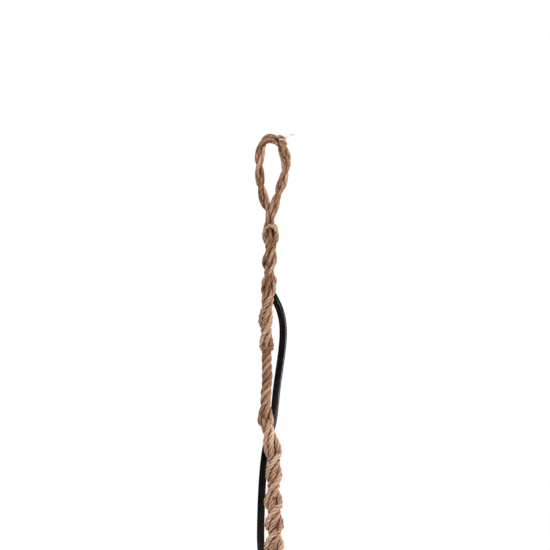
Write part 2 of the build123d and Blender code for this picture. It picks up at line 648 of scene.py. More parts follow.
@dataclass
class TubeForm:
    """The surface of a tube: its rings of vertices before they are joined up.

    line is the middle, across and back the two cross directions at each point, and reach the
    distance of each vertex from the middle, with one row for each ring.
    """

    line: Points
    across: Points
    back: Points
    reach: Points
    dome: float = 0.6

    @classmethod
    def on(cls, line: Points, reach: Points, first: Place = FIRST_SIDE) -> "TubeForm":
        """Return a form on a line whose cross directions start near first and don't turn."""
        return cls(line, *frames(line, first), reach)

    def surface(self) -> Points:
        """Work out where the vertices are.

        Returns:
            The vertices, as rings by sides by 3.
        """
        angles = round_angles(self.reach.shape[1])[:, None]
        ring = np.cos(angles) * self.across[:, None] + np.sin(angles) * self.back[:, None]
        return self.line[:, None] + self.reach[:, :, None] * ring

    def add_to(
        self, parts: MeshParts, depths: Points | None = None, tones: Points | None = None
    ) -> None:
        """Join the rings into a tube that is closed with a small cone at each end.

        Args:
            parts: the mesh that it goes into.
            depths: the painted shade of each vertex, or None for none.
            tones: the tone of each ring from 0 to 1, or None for the middle tone.
        """
        rings, sides = self.reach.shape
        ways = tangents(self.line)
        dome = self.dome * self.reach[[0, -1]].mean(axis=1)
        tips = [self.line[0] - ways[0] * dome[0], self.line[-1] + ways[-1] * dome[1]]
        vertices = np.concatenate([self.surface().reshape(-1, 3), np.stack(tips)])
        row, column = np.meshgrid(np.arange(rings - 1), np.arange(sides), indexing="ij")
        after = (column + 1) % sides
        first, below = row * sides, (row + 1) * sides
        quads = np.stack([first + column, first + after, below + after, below + column], axis=-1)
        along = distance_along(self.line)
        side_width = math.tau * float(self.reach.mean()) / sides
        low, high = column * side_width, (column + 1) * side_width
        start, end = along[row], along[row + 1]
        corners = [(start, low), (start, high), (end, high), (end, low)]
        places = np.stack([np.stack(pair, axis=-1) for pair in corners], axis=2).reshape(-1, 2)
        shade = np.zeros((rings, sides)) if depths is None else depths
        tone = np.full(rings, 0.5) if tones is None else tones
        all_depths = np.concatenate([shade.ravel(), [shade[0].mean(), shade[-1].mean()]])
        all_tones = np.concatenate([np.repeat(tone, sides), tone[[0, -1]]])
        fans = self.end_fans(rings, sides)
        faces = np.concatenate([quads.reshape(-1, 4), fans])
        places = np.concatenate([places, np.zeros((len(fans) * 4, 2))])
        parts.add(vertices, faces, places, all_depths, all_tones)

    @staticmethod
    def end_fans(rings: int, sides: int) -> Points:
        """Return the faces that close both ends of a tube, each over two sides.

        Args:
            rings: how many rings the tube has.
            sides: how many vertices each ring has.

        Returns:
            Four vertices' numbers for each face.
        """
        tip_low, tip_high, last = rings * sides, rings * sides + 1, (rings - 1) * sides
        fans = []
        for column in range(0, sides, 2):
            middle, after = (column + 1) % sides, (column + 2) % sides
            fans.append([tip_low, after, middle, column])
            fans.append([tip_high, last + column, last + middle, last + after])
        return np.array(fans)


def round_angles(sides: int) -> Points:
    """Return the angles of a ring's vertices in radians."""
    return np.arange(sides) * math.tau / sides


def add_tube(parts: MeshParts, line: Points, radii: Points, sides: int) -> None:
    """Add a plain round tube along a line, in millimetres."""
    TubeForm.on(line, np.repeat(radii[:, None], sides, axis=1)).add_to(parts)


@dataclass
class CordForm:
    """How one soft cord of spun jute is made up: two plies with a shallow groove between them.

    Where the legs are laid tight the groove is fainter and follows the legs' turns. Painted shade
    darkens a groove from where the section falls below lip, and darkens the crevices where other
    cords lie close. In the eye a cord is fuller where it lies before or behind its fellow. Each row
    of cabled holds the top and foot of a part where finer plies show, how much they do, their pitch
    and their groove. Each row of hollows holds x, height, reach and strength of a place that lies
    in painted shade, on all that is further to the front than hollow_back. The crevice fade gives
    the strength of the painted crevice shade by height.
    """

    sides: int = 24
    spacing: float = 0.5
    groove: float = 0.42
    tight_groove: float = 0.34
    tight_turn: float = 0.5
    tight_between: tuple[float, float] = (-188.0, -241.0)
    # How much painted shade darkens the tone where the legs are laid tight
    tight_shade: float = 0.25
    cord_tone: float = 0.12
    tone_range: float = 0.4
    tone_length: float = 16.0
    wander: float = 0.7
    wander_length: float = 11.0
    relative_pitch: float = 21.0
    cabled: Rows = ((-143.0, -187.0, 1.0, 24.0, 0.46), (-258.0, -385.0, 0.7, 26.0, 0.56))
    cabled_plies: int = 4
    lip: float = 1.04
    groove_fall: float = 0.32
    groove_bend: float = 1.3
    groove_shade: float = 0.8
    taper: float = 7.0
    taper_start: float = 0.55
    outward_blur: int = 9
    fullness: float = 0.2
    full_until: tuple[float, float] = (-54.0, -62.0)
    unevenness: float = 0.10
    uneven_length: float = 6.0
    sway: float = 0.32
    sway_length: float = 7.0
    # How far painted shade reaches out of a crevice, and its strength by height below
    crevice_shade_width: float = 1.7
    crevice_shade_fade: Rows = (
        (-92.0, -88.0, -76.0, -72.0, -45.0, -25.0),
        (1.0, 0.5, 0.5, 1.0, 1.0, 0.4),
    )
    sunk: tuple[float, float] = (1.6, 3.0)
    hollow_back: float = 4.0
    hollow_stretch: float = 0.7
    hollows: Rows = (
        (1.5, -79.5, 1.6, 0.8),
        (-4.4, -108.1, 2.4, 1.0),
        (-5.6, -130.3, 2.2, 0.85),
        (-5.4, -181.3, 2.2, 0.8),
        (-6.2, -246.0, 2.2, 0.8),
        (8.1, -277.6, 1.6, 0.8),
        (3.4, -319.6, 1.7, 0.9),
        (6.7, -346.3, 1.8, 0.9),
    )

    def add_to(
        self,
        parts: MeshParts,
        cord: Points,
        radii: Points,
        core: Points,
        others: list[tuple[Points, Points]],
        rng: np.random.Generator,
    ) -> Points:
        """Add one cord's surface to a mesh.

        Args:
            parts: the mesh that it goes into.
            cord: the cord's line in millimetres.
            radii: the cord's radius at each point of the line.
            core: the middle that the cord turns round, point for point.
            others: the lines that it lies against, each with its radii.
            rng: the random source.

        Returns:
            Some of the surface's points, for the fibres that stand off it.
        """
        line = spaced(cord, self.spacing)
        share = np.linspace(0, 1, len(line))
        old = distance_along(cord) / line_length(cord)
        along = distance_along(line)
        uneven = 1 + self.unevenness * smooth_noise(rng, along, self.uneven_length)
        reach = np.interp(share, old, radii) * uneven
        reach *= np.interp(along, [0, self.taper], [self.taper_start, 1.0])
        ways = tangents(line)
        outward = line - each_axis(core, lambda values: np.interp(share, old, values))
        outward -= (outward * ways).sum(axis=1)[:, None] * ways
        outward = unit(each_axis(outward, lambda values: smoothed(values, self.outward_blur)))
        in_eye = np.interp(line[:, 2], self.full_until[::-1], [0.0, 1.0])
        reach *= 1 + self.fullness * outward[:, 1] ** 2 * in_eye
        side = np.cross(ways, outward)
        line = line + self.sway * smooth_noise(rng, along, self.sway_length)[:, None] * side
        tight = self.within(line[:, 2], *self.tight_between)
        drift = np.cumsum(1 - tight) * self.spacing / self.relative_pitch * math.tau
        drift -= drift[int(np.argmax(tight))]
        wander = self.wander * (1 - 0.5 * tight) * smooth_noise(rng, along, self.wander_length)
        turn = wander - drift + tight * self.tight_turn
        depth = self.groove + (self.tight_groove - self.groove) * tight
        angles = round_angles(self.sides)
        section = self.section(angles[None] - math.pi / 2 - turn[:, None], depth[:, None])
        for top, foot, strength, pitch, groove in self.cabled:
            cabled = strength * self.within(line[:, 2], top, foot)[:, None]
            steep = angles[None] - math.tau * along[:, None] / pitch
            scallops = self.scallops(steep, self.cabled_plies, groove)
            section = section * (1 - cabled) + cabled * scallops
        section_reach = reach[:, None] * section * self.ridges(rng, along, angles)
        form = TubeForm(line, outward, side, section_reach)
        surface = form.surface()
        # Painted shade, carried as each vertex's depth: grooves between plies, crevices against
        # other cords and hollows of the lay
        fallen = np.clip((self.lip - section) / self.groove_fall, 0, 1)
        grooves = fallen**self.groove_bend * self.groove_shade
        fade = np.interp(line[:, 2], *self.crevice_shade_fade)[:, None]
        crevices = self.crevices(surface, line, others) * fade
        depths = np.maximum(grooves, np.maximum(crevices, self.shaded(surface)))
        tones = 0.5 + self.tone_range * smooth_noise(rng, along, self.tone_length)
        # Painted shade: the tone is darker where the legs are laid tight
        tones += rng.uniform(-self.cord_tone, self.cord_tone) - self.tight_shade * tight
        form.add_to(parts, depths, np.clip(tones, 0, 1))
        return surface

    def shaded(self, surface: Points) -> Points:
        """Work out how dark each vertex is for lying in a hollow of the lay.

        Args:
            surface: the vertices, as rings by sides by 3.

        Returns:
            The shade of each from 0 to 1.
        """
        shade = np.zeros(surface.shape[:2])
        in_front = surface[:, :, 1] < self.hollow_back
        for across, height, reach, strength in self.hollows:
            below = (surface[:, :, 2] - height) * self.hollow_stretch
            far = np.hypot(surface[:, :, 0] - across, below) / reach
            shade = np.maximum(shade, strength * np.exp(-(far**2)) * in_front)
        return shade

    @staticmethod
    def within(heights: Points, top: float, foot: float) -> Points:
        """Return 1 between two heights and fade to 0 over 8 mm beyond each."""
        return np.interp(-heights, [-top - 8, -top, -foot, -foot + 8], [0, 1, 1, 0])

    @staticmethod
    def scallops(angle: Points, lobes: int, groove: float) -> Points:
        """Return the outline of a cord of several plies as a share of its radius."""
        return 1 + 0.35 * groove - groove * (1 - np.abs(np.cos(lobes * angle / 2))) ** 1.2

    @staticmethod
    def section(angle: Points, groove: Points) -> Points:
        """Return the outline of two round plies side by side, as a share of the cord's radius.

        Args:
            angle: the angle from the line through the two plies.
            groove: how far apart the plies are, as a share of their radius.

        Returns:
            The distance from the middle, about 1 on the whole.
        """
        ply = 1.12 / (1 + groove)
        apart = groove * ply
        return apart * np.abs(np.cos(angle)) + np.sqrt(ply**2 - (apart * np.sin(angle)) ** 2)

    @staticmethod
    def ridges(rng: np.random.Generator, along: Points, angles: Points) -> Points:
        """Make the ridges that bundles of fibre raise on a cord, turning slowly round it.

        Args:
            rng: the random source.
            along: how far along the cord each ring lies.
            angles: the angles of a ring's vertices.

        Returns:
            The reach of each vertex as a share of what it would be without them.
        """
        height = np.ones((len(along), len(angles)))
        for waves, length, rise in ((4, 60.0, 0.016), (6, 50.0, 0.016), (9, 42.0, 0.014)):
            phase = rng.uniform(0, math.tau) + math.tau * waves * along / length / 2
            strength = rise * (1 + smooth_noise(rng, along, 5.0))
            height += strength[:, None] * np.sin(waves * angles[None] + phase[:, None])
        return height

    def crevices(
        self, surface: Points, line: Points, others: list[tuple[Points, Points]]
    ) -> Points:
        """Work out each vertex's painted crevice shade from how closely the cords beside it hem it
        in.

        Args:
            surface: the vertices, as rings by sides by 3.
            line: the cord's own line.
            others: the lines that it lies against, each with its radii.

        Returns:
            The painted shade, from 0 in the open to 1 in a crevice.
        """
        hemmed = np.zeros(surface.shape[:2])
        for other, radii in others:
            near, apart = nearest(line, other, None)
            clear = np.interp(apart, self.sunk, [0.0, 1.0])[:, None]
            gaps = np.full(surface.shape[:2], np.inf)
            for shift in range(-4, 5):
                tried = np.clip(near + shift, 0, len(other) - 1)
                gap = np.linalg.norm(surface - other[tried][:, None], axis=2)
                gaps = np.minimum(gaps, gap - radii[tried][:, None])
            hemmed = np.maximum(hemmed, clear * np.clip(1 - gaps / self.crevice_shade_width, 0, 1))
        return hemmed


# ---- finishes


def linear(colour: str) -> Colour:
    """Turn an sRGB hex colour into linear values with full alpha.

    Args:
        colour: such as "#B08A6C".

    Returns:
        Red, green, blue and alpha.
    """
    channels = [int(colour[start : start + 2], 16) / 255 for start in (1, 3, 5)]
    values = [c / 12.92 if c <= 0.04045 else ((c + 0.055) / 1.055) ** 2.4 for c in channels]
    return (*values, 1.0)


def add_node(
    tree: Tree,
    kind: str,
    settings: dict[str, object] | None = None,
    inputs: dict[str | int, object] | None = None,
) -> bpy.types.Node:
    """Add a node with its settings, and its inputs as values or links.

    Args:
        tree: the node tree.
        kind: the node's type name without the ShaderNode that all of them begin with.
        settings: attributes of the node.
        inputs: values or output sockets, by input name or number.

    Returns:
        The new node.
    """
    node = tree.nodes.new("ShaderNode" + kind)
    for name, value in (settings or {}).items():
        setattr(node, name, value)
    for name, value in (inputs or {}).items():
        if isinstance(value, Socket):
            tree.links.new(value, node.inputs[name])
        else:
            node.inputs[name].default_value = value
    return node


def colour_ramp(tree: Tree, value: Socket, stops: list[tuple[float, str]]) -> Socket:
    """Turn a value into a colour.

    Args:
        tree: the node tree.
        value: the value.
        stops: places from 0 to 1 with the hex colour at each.

    Returns:
        The colour.
    """
    ramp = add_node(tree, "ValToRGB", inputs={"Fac": value})
    elements = ramp.color_ramp.elements
    while len(elements) < len(stops):
        elements.new(0.5)
    for element, (place, colour) in zip(elements, stops):
        element.position = place
        element.color = linear(colour)
    return ramp.outputs["Color"]


def multiply_add(tree: Tree, value: Socket, factor: float, addend: Socket | float) -> Socket:
    """Multiply a value by a factor and add another value."""
    inputs = {0: value, 1: factor, 2: addend}
    return add_node(tree, "Math", {"operation": "MULTIPLY_ADD"}, inputs).outputs[0]


def attribute(tree: Tree, name: str) -> Socket:
    """Read a value that the mesh carries."""
    return add_node(tree, "Attribute", {"attribute_name": name}).outputs["Fac"]


def own_place(tree: Tree) -> Socket:
    """Read the place on the piece, in metres from the part's origin."""
    return add_node(tree, "TexCoord").outputs["Object"]


def noise(tree: Tree, place: Socket, scale: float, detail: float, roughness: float = 0.5) -> Socket:
    """Add even noise of a number of waves to each unit of place."""
    inputs = {"Vector": place, "Scale": scale, "Detail": detail, "Roughness": roughness}
    return add_node(tree, "TexNoise", inputs=inputs).outputs["Fac"]


def map_range(tree: Tree, ends: dict[str, object], smooth: bool = False) -> Socket:
    """Stretch a value from one range to another, evenly or with soft ends."""
    settings = {"interpolation_type": "SMOOTHSTEP" if smooth else "LINEAR"}
    return add_node(tree, "MapRange", settings, ends).outputs["Result"]


def raised(tree: Tree, height: Socket, distance: float, strength: float) -> Socket:
    """Bend the surface's direction as if a height value raised it, by a distance in mm."""
    inputs = {"Height": height, "Distance": distance * MM, "Strength": strength}
    return add_node(tree, "Bump", inputs=inputs).outputs["Normal"]


@dataclass(frozen=True)
class Finish:
    """What the surface of a piece is made of. Each kind of finish says what its shader takes."""

    name: str

    def shader_inputs(self, tree: Tree) -> dict[str, object]:
        """Return the values and links that the surface's shader takes."""
        raise NotImplementedError

    def material(self) -> bpy.types.Material:
        """Build the finish as a node material.

        Returns:
            The material.
        """
        material = bpy.data.materials.new(self.name)
        material.use_nodes = True
        tree = material.node_tree
        tree.nodes.clear()
        shader = add_node(tree, "BsdfPrincipled", inputs=self.shader_inputs(tree))
        add_node(tree, "OutputMaterial", inputs={"Surface": shader.outputs["BSDF"]})
        return material


@dataclass(frozen=True)
class LaidJute(Finish):
    """Jute yarn, spun and laid in cords: dull and soft, with fine fibres along it and painted shade
    in its grooves.

    The fibres are long and lie with the yarn, so the streaks are far longer than they are wide;
    jute has almost no gloss, but its loose surface catches a little light at a low angle. From
    the first of its two darkening heights up to the second, its tone grows a little darker.
    """

    tones: tuple[str, ...] = ("#6E4429", "#9C7C65", "#BA937A", "#EAD2BF")
    stops: tuple[float, ...] = (0.36, 0.46, 0.56, 0.68)
    # The colour of the painted shade in grooves, crevices and hollows
    groove: str = "#4E220A"
    shade_depth_range: tuple[float, float] = (0.05, 0.95)
    shade_share: float = 0.97
    contrast: float = 0.74
    middle_value: float = 0.825
    strand_share: float = 0.35
    tone_share: float = 0.30
    top_darkening: float = 0.035
    darkening_heights: tuple[float, float] = (-210.0, -130.0)
    streak_size: tuple[float, float] = (8.0, 0.32)
    streak_detail: float = 3.0
    strand_size: tuple[float, float] = (26.0, 1.3)
    strand_detail: float = 1.0
    coarseness: float = 0.55
    lean: float = 14.0
    bump_height: float = 0.16
    bump_strength: float = 0.8
    roughness: float = 0.88
    gloss: float = 0.12
    sheen: float = 0.04

    def shader_inputs(self, tree: Tree) -> dict[str, object]:
        """Let streaks follow the yarn, paint shade into the grooves and crevices, and make the top
        darker.

        Args:
            tree: the node tree.

        Returns:
            The shader's inputs.
        """
        fine = self.streaks(tree, self.streak_size, self.streak_detail)
        broad = self.streaks(tree, self.strand_size, self.strand_detail)
        lines = multiply_add(tree, broad, self.strand_share, fine)
        value = multiply_add(tree, attribute(tree, "tone"), self.tone_share, lines)
        middle = 0.5 - self.contrast * self.middle_value
        spread = multiply_add(tree, value, self.contrast, middle)
        # The tone grows a little darker from the lower height up to the higher one
        height = add_node(tree, "SeparateXYZ", inputs={"Vector": own_place(tree)}).outputs["Z"]
        low, high = (limit * MM for limit in self.darkening_heights)
        upper_share = map_range(tree, {"Value": height, "From Min": low, "From Max": high})
        darkened = multiply_add(tree, upper_share, -self.top_darkening, spread)
        shade = colour_ramp(tree, darkened, list(zip(self.stops, self.tones)))
        # Painted shade: the depth attribute mixes in the groove colour
        low, high = self.shade_depth_range
        ends = {"Value": attribute(tree, "depth"), "From Min": low, "From Max": high}
        dark = map_range(tree, {**ends, "To Max": self.shade_share}, smooth=True)
        mixed = {0: dark, 6: shade, 7: linear(self.groove)}
        return {
            "Base Color": add_node(tree, "Mix", {"data_type": "RGBA"}, mixed).outputs[2],
            "Roughness": self.roughness,
            "Specular IOR Level": self.gloss,
            "Sheen Weight": self.sheen,
            "Sheen Roughness": 0.5,
            "Normal": raised(tree, lines, self.bump_height, self.bump_strength),
        }

    def streaks(self, tree: Tree, size: tuple[float, float], detail: float) -> Socket:
        """Add streaks that lean a little across the yarn.

        Args:
            tree: the node tree.
            size: how long and how wide a streak is, in millimetres.
            detail: how many finer layers it has.

        Returns:
            The streaks' value.
        """
        place = add_node(tree, "UVMap", {"uv_map": "along_and_round"}).outputs["UV"]
        lean = (0.0, 0.0, math.radians(self.lean))
        inputs = {"Vector": place, "Rotation": lean, "Scale": (*size, 1.0)}
        leaned = add_node(tree, "Mapping", {"vector_type": "TEXTURE"}, inputs)
        return noise(tree, leaned.outputs["Vector"], 1.0, detail, self.coarseness)


@dataclass(frozen=True)
class LooseFibre(Finish):
    """Single jute fibres that stand off the cords: dry, straw coloured and paler than the yarn.

    Each keeps one tone for a few millimetres, so the fibres differ from one to the next.
    """

    root: str = "#A98B6C"
    tip: str = "#DCC8AC"
    patch: float = 2.0
    roughness: float = 0.7
    gloss: float = 0.2

    def shader_inputs(self, tree: Tree) -> dict[str, object]:
        """Let the fibres differ in tone.

        Args:
            tree: the node tree.

        Returns:
            The shader's inputs.
        """
        spread = noise(tree, own_place(tree), 1 / (self.patch * MM), 1.0)
        colour = colour_ramp(tree, spread, [(0.35, self.root), (0.65, self.tip)])
        shine = {"Roughness": self.roughness, "Specular IOR Level": self.gloss}
        return {"Base Color": colour, **shine}


@dataclass(frozen=True)
class ExtrudedPvc(Finish):
    """Black PVC drawn over the flex: smooth, satin, with the faint waviness of extrusion."""

    colour: str = "#060607"
    worn: str = "#0C0B0E"
    wave_length: float = 9.0
    wave_height: float = 0.03
    roughness: tuple[float, float] = (0.20, 0.30)

    def shader_inputs(self, tree: Tree) -> dict[str, object]:
        """Make an even black with a soft gloss that varies a little along it.

        Args:
            tree: the node tree.

        Returns:
            The shader's inputs.
        """
        wave = noise(tree, own_place(tree), 1 / (self.wave_length * MM), 3.0)
        low, high = self.roughness
        return {
            "Base Color": colour_ramp(tree, wave, [(0.3, self.colour), (0.7, self.worn)]),
            "Roughness": map_range(tree, {"Value": wave, "To Min": low, "To Max": high}),
            "IOR": 1.5,
            "Normal": raised(tree, wave, self.wave_height, 0.5),
        }


@dataclass(frozen=True)
class MattPaint(Finish):
    """Matt white paint on the studio floor: pale, with a trace of roller texture."""

    colour: str = "#F7F7F7"
    roughness: float = 0.9
    lift: float = 0.35
    grain: float = 2.75
    grain_height: float = 0.1

    def shader_inputs(self, tree: Tree) -> dict[str, object]:
        """Lift the paint to white with a little light of its own, so that it keeps its shadows.

        Args:
            tree: the node tree.

        Returns:
            The shader's inputs.
        """
        grain = noise(tree, own_place(tree), 1 / (self.grain * MM), 2.0)
        return {
            "Base Color": linear(self.colour),
            "Roughness": self.roughness,
            "Emission Color": linear("#FFFFFF"),
            "Emission Strength": self.lift,
            "Normal": raised(tree, grain, self.grain_height, 1.0),
        }


def dress(piece: bpy.types.Object, material: bpy.types.Material) -> None:
    """Give a piece its material and log its name and finish.

    Args:
        piece: the piece.
        material: its material.
    """
    piece.data.materials.append(material)
    LOG.info("made %s, finish %s", piece.name, material.name)


# ---- sub-assemblies


@dataclass
class Studio:
    """The pale studio: camera, lamps, surroundings and floor.

    Each lamp is a soft box with its name, place, size and power in watts: the main one hangs
    high on the right, and there are a fill, one at the side and one behind. The air is white to
    the camera; what it lights and what it mirrors are the strengths of glow and reflection.
    """

    middle: tuple[float, float] = (4.5, -118.8)
    field_width: float = 495.0
    camera_distance: float = 2000.0
    sensor_width: float = 36.0
    lamps: tuple[tuple[str, Place, tuple[float, float], float], ...] = (
        ("main_box", (700.0, -1000.0, 1200.0), (700.0, 700.0), 40.5),
        ("fill_box", (-1100.0, -700.0, 1000.0), (900.0, 900.0), 12.0),
        ("side_box", (1100.0, 180.0, -150.0), (220.0, 1000.0), 8.0),
        ("back_box", (-300.0, 1300.0, 700.0), (1000.0, 800.0), 19.0),
    )
    air: str = "#F4F6FA"
    glow: float = 0.30
    reflection: float = 0.02
    floor_drop: float = 60.0
    floor_size: float = 1100.0

    def build_camera(self) -> None:
        """Set the camera straight in front of the rope with a long lens."""
        data = bpy.data.cameras.new("camera")
        data.sensor_width = self.sensor_width
        data.lens = self.sensor_width * self.camera_distance / self.field_width
        data.clip_end = 20.0
        camera = linked("camera", data)
        camera.location = (self.middle[0] * MM, -self.camera_distance * MM, self.middle[1] * MM)
        camera.rotation_euler = (math.pi / 2, 0.0, 0.0)
        bpy.context.scene.camera = camera

    def build_lamps(self) -> None:
        """Hang the soft boxes so that each faces the middle of the rope."""
        for name, place, size, power in self.lamps:
            data = bpy.data.lights.new(name, "AREA")
            data.shape = "RECTANGLE"
            data.size, data.size_y = size[0] * MM, size[1] * MM
            data.energy = power
            lamp = linked(name, data)
            lamp.location = [value * MM for value in place]
            aim = Vector((0.0, 0.0, self.middle[1] * MM)) - lamp.location
            lamp.rotation_euler = aim.to_track_quat("-Z", "Y").to_euler()

    def build_surroundings(self) -> None:
        """Make the world: white to the eye, dim grey in what lights and reflects."""
        world = bpy.data.worlds.new("studio_air")
        world.use_nodes = True
        tree = world.node_tree
        tree.nodes.clear()
        ray = add_node(tree, "LightPath").outputs
        kinds = ((self.air, self.glow), (self.air, self.reflection), ("#FFFFFF", 1.0))
        light, mirrored, seen = (
            add_node(tree, "Background", inputs={"Color": linear(colour), "Strength": strength})
            for colour, strength in kinds
        )
        mix = {0: ray["Is Glossy Ray"], 1: light.outputs[0], 2: mirrored.outputs[0]}
        for_gloss = add_node(tree, "MixShader", inputs=mix)
        mix = {0: ray["Is Camera Ray"], 1: for_gloss.outputs[0], 2: seen.outputs[0]}
        shown = add_node(tree, "MixShader", inputs=mix)
        add_node(tree, "OutputWorld", inputs={"Surface": shown.outputs[0]})
        bpy.context.scene.world = world
        bpy.context.scene.view_settings.view_transform = "Standard"

    def build_floor(self) -> None:
        """Lay the floor just below the lower eye, out of the camera's sight."""
        half = self.floor_size / 2 * MM
        drop = CAD_BOX[0][2] - self.floor_drop * MM
        mesh = bpy.data.meshes.new("floor")
        corners = [(x * half, y * half, drop) for x, y in ((-1, -1), (1, -1), (1, 1), (-1, 1))]
        mesh.from_pydata(corners, [], [(0, 1, 2, 3)])
        floor = linked("floor", mesh)
        floor.data.materials.append(MattPaint("studio_floor_paint").material())


@dataclass
class Flex:
    """The round black flex, from between the legs down into the seizing."""

    diameter: float = FLEX_DIAMETER
    length: float = 278.0
    sides: int = 36
    line: Points | None = None

    def lay(self) -> None:
        """Read the flex's line from its route's curve."""
        self.line = spaced(route_line("flex_line", flex_route()), 1.0)

    def build(self, finish: ExtrudedPvc) -> None:
        """Build the flex as a round tube, with its finish.

        Args:
            finish: the sheath's finish.
        """
        parts = MeshParts()
        add_tube(parts, self.line, np.full(len(self.line), self.diameter / 2), self.sides)
        piece = parts.build("flex_sheath")
        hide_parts("flex")
        dress(piece, finish.material())


@dataclass
class Rope:
    """The two legs: their lines, their cords and the hair that stands off them.

    The core is the fibres that fill the gap in the middle of the cords, painted dark as shade. Each
    hair has a length, a width and a slant along the cord within the given limits.
    """

    lay: CordLay = field(default_factory=CordLay)
    form: CordForm = field(default_factory=CordForm)
    lengths: dict[Side, float] = field(
        default_factory=lambda: {Side.LEFT: 470.0, Side.RIGHT: 522.0}
    )
    core_radius: float = 0.9
    core_sides: int = 6
    # The core's painted shade, which keeps it dark as the gap between the cords
    core_shade: float = 0.8
    core_top: float = -76.0
    hair_count: int = 1800
    hair_length: tuple[float, float] = (0.8, 2.6)
    hair_width: tuple[float, float] = (0.05, 0.10)
    hair_slant: tuple[float, float] = (0.3, 1.6)
    hair_scatter: float = 0.25
    legs: dict[Side, Points] = field(default_factory=dict)
    cords: list[Points] = field(default_factory=list)
    cores: list[Points] = field(default_factory=list)
    skins: list[Points] = field(default_factory=list)

    def lay_legs(self) -> None:
        """Read each leg's line from its route's curve."""
        for side in Side:
            self.legs[side] = route_line(f"{side.name.lower()}_leg_line", leg_route(side))

    def lay_cords(self, flex: Points) -> None:
        """Lay the cords of both legs and settle them against each other and the flex.

        Args:
            flex: the flex's line.
        """
        for side in Side:
            pair, core = self.lay.pair(self.legs[side], side)
            self.cords += pair
            self.cores += [core, core]
        self.lay.settle(self.cords, flex)

    def build_legs(self, finish: LaidJute, flex: Points) -> None:
        """Build each leg as one mesh of two cords.

        Args:
            finish: the jute's finish.
            flex: the flex's line, which the cords lie against.
        """
        material = finish.material()
        radii = [self.lay.cord_radius(cord[:, 2]) for cord in self.cords]
        lines = [*zip(self.cords, radii), (flex, np.full(len(flex), FLEX_DIAMETER / 2))]
        for number, side in enumerate(Side):
            rng = np.random.default_rng(20 + number)
            parts = MeshParts()
            one, two = 2 * number, 2 * number + 1
            for cord in (one, two):
                others = lines[:cord] + lines[cord + 1 :]
                shape = (self.cords[cord], radii[cord], self.cores[cord])
                self.skins.append(self.form.add_to(parts, *shape, others, rng))
            self.add_core(parts, (self.cords[one] + self.cords[two]) / 2)
            if side is Side.LEFT:
                middle = self.cores[one]
                heights = middle[:, 2]
                self.add_core(parts, middle[(heights < self.core_top) & (heights > SEIZING_TOP)])
            piece = parts.build(f"{side.name.lower()}_leg_cords")
            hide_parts(f"{side.name.lower()}_leg")
            dress(piece, material)

    def add_core(self, parts: MeshParts, middle: Points) -> None:
        """Add the fibres that fill the gap in the middle of the cords, painted dark as shade.

        Args:
            parts: the mesh that they go into.
            middle: the line of that middle.
        """
        line = spaced(middle, 1.5)[3:-3]
        reach = np.full((len(line), self.core_sides), self.core_radius)
        TubeForm.on(line, reach).add_to(parts, np.full(reach.shape, self.core_shade))

    def build_hair(self, finish: LooseFibre) -> None:
        """Stand short fibres off the cords.

        Args:
            finish: the fibres' finish.
        """
        rng = np.random.default_rng(7)
        parts = MeshParts()
        for _ in range(self.hair_count):
            skin = self.skins[rng.integers(len(self.skins))]
            ring, side = rng.integers(3, len(skin) - 3), rng.integers(skin.shape[1])
            place = skin[ring, side]
            out = unit(place - skin[ring].mean(axis=0))
            along = unit(skin[ring + 2, side] - skin[ring - 2, side])
            slant = rng.choice((-1, 1)) * rng.uniform(*self.hair_slant)
            way = unit(out + slant * along + rng.normal(0, self.hair_scatter, 3))
            length, width = rng.uniform(*self.hair_length), rng.uniform(*self.hair_width)
            add_fibre(parts, rng, place, way, length, width)
        dress(parts.build("jute_hair"), finish.material())


def add_fibre(
    parts: MeshParts,
    rng: np.random.Generator,
    place: Points,
    way: Points,
    length: float,
    width: float,
) -> None:
    """Add one bent, tapered fibre.

    Args:
        parts: the mesh that it goes into.
        rng: the random source.
        place: where it starts, in millimetres.
        way: its unit direction.
        length: how long it is.
        width: its diameter at the root.
    """
    steps = np.linspace(0, 1, 6)[:, None]
    bend = rng.normal(0, 0.45, 3)
    line = place + length * (steps * way + steps**2 * bend * 0.5)
    add_tube(parts, line, width / 2 * np.linspace(1.0, 0.45, 6), 4)


@dataclass(frozen=True)
class TwoPly:
    """A thin yarn of two plies: its width, the pitch of its twist and its groove.

    Painted shade darkens its groove from where the section falls below lip, up to the value of
    dark.
    """

    width: float
    pitch: float
    groove: float
    sides: int
    lip: float
    dark: float

    def on(
        self, line: Points, rng: np.random.Generator, first: Place = FIRST_SIDE
    ) -> tuple[TubeForm, Points]:
        """Work out the yarn's surface on a line.

        Args:
            line: the line in millimetres.
            rng: the random source.
            first: a direction that the surface's first side starts nearest to.

        Returns:
            The surface's form, and the painted groove shade of each vertex.
        """
        along = distance_along(line)
        angles = round_angles(self.sides)
        turn = along / self.pitch * math.tau
        groove = np.full((len(line), 1), self.groove)
        section = CordForm.section(angles[None] - turn[:, None], groove)
        reach = self.width / 2 * section * CordForm.ridges(rng, along, angles)
        # Painted shade in the groove between the two plies
        depths = np.clip((self.lip - section) / 0.3, 0, 1) * self.dark
        return TubeForm.on(line, reach, first), depths


